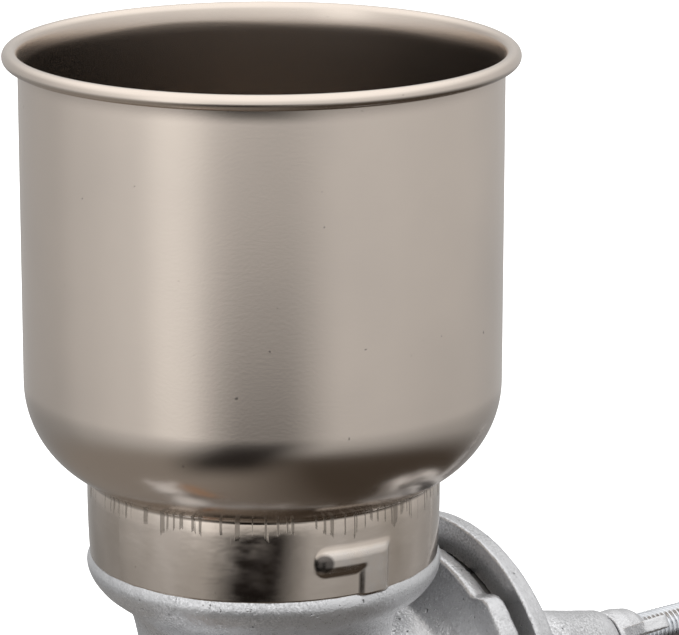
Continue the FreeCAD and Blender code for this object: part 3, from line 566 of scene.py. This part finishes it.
def sheet_line():
    """Middle line of the hopper sheet from the curl's edge to the foot of the neck."""
    wall = WALL_R - HALF_SHEET
    rim, flare_z = rolled_rim()
    centre_r = WALL_R - SHOULDER_R
    radius = SHOULDER_R - HALF_SHEET
    end = math.degrees(math.acos((CREASE_R - HALF_SHEET - centre_r) / radius))
    shoulder = arc((centre_r, SHOULDER_Z), radius, 0, -end, 24)
    drop = np.linspace(0.9 * MM, CREASE_Z - LEDGE_Z, 36)
    neck = np.stack([neck_radius(drop) - HALF_SHEET, CREASE_Z - drop], 1)
    wall_side = np.linspace((wall, flare_z - 0.5 * MM), (wall, SHOULDER_Z + MM), 5)
    return np.concatenate([rim, wall_side, shoulder, neck])


def channel_bulge(angle, z):
    """Share of the channel's full depth pressed out, and of the painted shade at its closed end.
    """
    across = angle * NECK_R

    def box(low_x, high_x, low_z, high_z, corner):
        cx, cz = (low_x + high_x) / 2, (low_z + high_z) / 2
        dx = np.abs(across - cx) - (high_x - low_x) / 2 + corner
        dz = np.abs(z - cz) - (high_z - low_z) / 2 + corner
        outside = np.hypot(np.maximum(dx, 0), np.maximum(dz, 0))
        return outside + np.minimum(np.maximum(dx, dz), 0) - corner

    start, leg, end = (turn * NECK_R for turn in (CHANNEL_START, CHANNEL_LEG, CHANNEL_END))
    level_run = box(start, end, CHANNEL_LOW, CHANNEL_HIGH, CHANNEL_CORNER_R)
    leg_run = box(leg, end, LEDGE_Z - LEG_RUN_OUT, CHANNEL_HIGH, LEG_CORNER_R)
    share = np.clip(-np.minimum(level_run, leg_run) / CHANNEL_SIDE, 0, 1)
    middle = (CHANNEL_LOW + CHANNEL_HIGH) / 2
    away = np.hypot(across - start - END_SHADE_R * 0.6, z - middle) / END_SHADE_R
    return smoothed(share), smoothed(np.clip(1 - away, 0, 1))


def smoothed(share):
    """Share from 0 to 1 with level ends."""
    return share * share * (3 - 2 * share)


def waviness(angle):
    """Slight out-of-roundness of the drawn wall."""
    return 0.05 * MM * np.sin(3 * angle + 0.6) + 0.03 * MM * np.sin(7 * angle + 2.0)


def make_hopper():
    """The sheet turned round its axis, with the channel pressed out of the neck."""
    line = sheet_line()
    direction = np.gradient(line, axis=0)
    direction /= np.linalg.norm(direction, axis=1)[:, None]
    outwards = np.stack([direction[:, 1], -direction[:, 0]], 1) * HALF_SHEET
    loop = np.concatenate([line + outwards, (line - outwards)[::-1]])
    segments = 520
    angle = np.linspace(-math.pi, math.pi, segments, endpoint=False)[None, :]
    height = np.repeat(loop[:, 1:], segments, 1)
    bulge, end_shade = channel_bulge(angle, height)
    bulge = bulge * (height < CREASE_Z - 1.0 * MM)
    radius = loop[:, :1] + CHANNEL_DEPTH * bulge + waviness(angle) * (height > CREASE_Z)
    points = np.stack([radius * np.cos(angle), radius * np.sin(angle), height], -1)
    mesh = bpy.data.meshes.new("hopper_sheet")
    mesh.from_pydata(points.reshape(-1, 3).tolist(), [], ring_faces(len(loop), segments))
    # The second attribute holds the painted shade at the channel's closed end
    for name, share in (("pressed", bulge), ("end_shade", end_shade)):
        layer = mesh.attributes.new(name, "FLOAT", "POINT")
        layer.data.foreach_set("value", share.ravel().astype(np.float32))
    finish_piece(new_object("hopper_sheet", mesh), "hopper")


def ring_faces(rows, segments, closed=True):
    """Quads of a lathed grid; closed joins the last row to the first."""
    last = rows if closed else rows - 1
    faces = []
    for i in range(last):
        a = i * segments
        b = ((i + 1) % rows) * segments
        for j in range(segments):
            k = (j + 1) % segments
            faces.append((a + j, a + k, b + k, b + j))
    return faces


# ---- castings -------------------------------------------------------------------------

def applied(piece):
    """Replace a piece's mesh by the result of its modifiers."""
    graph = bpy.context.evaluated_depsgraph_get()
    mesh = bpy.data.meshes.new_from_object(piece.evaluated_get(graph))
    old = piece.data
    piece.modifiers.clear()
    piece.data = mesh
    bpy.data.meshes.remove(old)


def cast_texture(name, size):
    """Cloudy texture for pushing a casting's skin in and out."""
    texture = bpy.data.textures.new(name, "CLOUDS")
    texture.noise_scale = size
    texture.noise_depth = 2
    return texture


WELD = 0.002 * MM
LUMPS = cast_texture("cast_lumps", 9.0 * MM)
SKIN = cast_texture("cast_skin", 1.6 * MM)


def as_cast(node, voxel, soften, lumps=0.25, skin=0.10):
    """Sand-cast version of a node: softened corners, gentle lumps and a rough skin.

    voxel, lumps and skin are in mm; soften is a number of smoothing rounds.
    """
    mesh = NODES[node].data.copy()
    welded = bmesh.new()
    welded.from_mesh(mesh)
    bmesh.ops.remove_doubles(welded, verts=welded.verts, dist=WELD)
    welded.to_mesh(mesh)
    welded.free()
    piece = new_object(node + "_cast", mesh)
    remesh = piece.modifiers.new("remesh", "REMESH")
    remesh.mode = "VOXEL"
    remesh.voxel_size = voxel * MM
    smooth = piece.modifiers.new("soften", "SMOOTH")
    smooth.factor = 0.5
    smooth.iterations = soften
    for texture, strength in ((LUMPS, lumps), (SKIN, skin)):
        rough = piece.modifiers.new("rough", "DISPLACE")
        rough.texture = texture
        rough.texture_coords = "LOCAL"
        rough.strength = strength * MM
        rough.mid_level = 0.5
    applied(piece)
    finish_piece(piece, node)


# ---- screws and small steel pieces ----------------------------------------------------

def threaded_bar(name, stations, radii, place, cut):
    """Closed round bar: radii at stations along its axis; place turns (along, y, z) into a point.

    cut(along, turn) gives the depth that the thread takes off the radius.
    """
    segments = 72
    turn = np.linspace(0, 2 * math.pi, segments, endpoint=False)
    grid = np.repeat(np.asarray(radii)[:, None], segments, 1)
    along = np.repeat(np.asarray(stations)[:, None], segments, 1)
    grid = grid - cut(along, turn[None, :])
    points = place(along, grid * np.cos(turn), grid * np.sin(turn)).reshape(-1, 3).tolist()
    rows = len(stations)
    faces = ring_faces(rows, segments, closed=False)
    faces.append(tuple(range(segments))[::-1])
    faces.append(tuple((rows - 1) * segments + j for j in range(segments)))
    mesh = bpy.data.meshes.new(name)
    mesh.from_pydata(points, [], faces)
    return new_object(name, mesh)


def thread_cut(start, end):
    """Depth of a right-handed vee thread between two stations, faded at its ends."""
    def cut(along, turn):
        phase = np.mod(along / PITCH - turn / (2 * math.pi), 1.0)
        valley = np.clip(1.25 - np.abs(phase - 0.5) * 2.6, 0.0, 1.0)
        fade = np.clip(np.minimum(along - start, end - along) / PITCH, 0.0, 1.0)
        return THREAD_DEPTH * valley * fade
    return cut


def make_adjusting_screw():
    """Threaded bar with a chamfered tip, a turned-down neck and a plain end."""
    tip, end = SCREW_LOW.x, SCREW_HIGH.x
    thread = np.arange(tip + TIP_CHAMFER, THREAD_END_X, PITCH / STATIONS_A_TURN)
    step = THREAD_END_X + STEP_LENGTH
    stations = np.concatenate([[tip], thread, [THREAD_END_X, step, end - 0.6 * MM, end]])
    radii = np.full(len(stations), THREAD_R)
    radii[0] = THREAD_R - TIP_CHAMFER
    radii[-3:] = (SCREW_NECK_R, SCREW_NECK_R, SCREW_NECK_R - 0.5 * MM)

    def place(along, y, z):
        return np.stack([along, y, z + AXIS_Z], -1)

    cut = thread_cut(tip + TIP_CHAMFER, THREAD_END_X)
    bar = threaded_bar("adjusting_screw_thread", stations, radii, place, cut)
    finish_piece(bar, "adjusting_screw")


def make_clamp_screw():
    """Clamp screw from its plain lower end up to the turned-down tip in the pad."""
    x = (CLAMP_LOW.x + CLAMP_HIGH.x) / 2
    wings_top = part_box("clamp_screw_wings")[1].z
    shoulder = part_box("clamp_foot")[0].z - 0.4 * MM
    start, end = wings_top + 2 * MM, shoulder - 0.8 * MM
    thread = np.arange(start, end, PITCH / STATIONS_A_TURN)
    low = [CLAMP_LOW.z, CLAMP_LOW.z + 0.6 * MM, wings_top + 1.9 * MM]
    high = [shoulder, shoulder + 0.05 * MM, CLAMP_HIGH.z - 0.5 * MM, CLAMP_HIGH.z]
    stations = np.concatenate([low, thread, high])
    radii = np.full(len(stations), THREAD_R)
    radii[:3] = (CLAMP_TAIL_R - 0.6 * MM, CLAMP_TAIL_R, CLAMP_TAIL_R)
    radii[-4:] = (THREAD_R - 0.6 * MM, CLAMP_TIP_R, CLAMP_TIP_R, CLAMP_TIP_R - 0.5 * MM)

    def place(along, a, b):
        return np.stack([a + x, b, along], -1)

    bar = threaded_bar("clamp_screw_thread", stations, radii, place, thread_cut(start, end))
    finish_piece(bar, "clamp_screw")


def as_turned(node, edge):
    """Machined version of a node: its edges broken by a small bevel, in mm."""
    mesh = NODES[node].data.copy()
    part = bmesh.new()
    part.from_mesh(mesh)
    bmesh.ops.remove_doubles(part, verts=part.verts, dist=WELD)
    bmesh.ops.dissolve_limit(part, angle_limit=math.radians(0.5), verts=part.verts,
                             edges=part.edges)
    part.to_mesh(mesh)
    part.free()
    piece = new_object(node + "_turned", mesh)
    bevel = piece.modifiers.new("edge", "BEVEL")
    bevel.width = edge * MM
    bevel.segments = 2
    bevel.limit_method = "ANGLE"
    bevel.angle_limit = math.radians(40)
    applied(piece)
    finish_piece(piece, node)
    piece.data.set_sharp_from_angle(angle=math.radians(35))


# ---- build ----------------------------------------------------------------------------

make_camera()
studio_light()
make_floor()
bpy.context.scene.view_settings.view_transform = "Standard"
make_hopper()
as_cast("body_casting", 0.95, 9)
as_cast("yoke_frame", 0.7, 6)
as_cast("rotating_disc", 0.6, 2, 0.15, 0.06)
as_cast("crank_arm", 0.6, 6)
as_cast("auger", 0.6, 5)
for thumb_piece in ("yoke_wing_bolts", "adjusting_screw_wings", "lock_wing_nut",
                    "crank_wing_screw", "clamp_screw_wings"):
    as_cast(thumb_piece, 0.35, 6, 0.10, 0.05)
make_adjusting_screw()
make_clamp_screw()
for steel_piece in ("yoke_bolt_washers", "crank_washer", "grip_washer", "grip_spindle",
                    "clamp_foot", "adjusting_wing_pin", "clamp_wing_pin", "disc_drive_pin"):
    as_turned(steel_piece, 0.25)

for name, node in NODES.items():
    if not node.hide_render:
        node.data.materials.clear()
        node.data.materials.append(MATERIALS[SLOTS[name]])
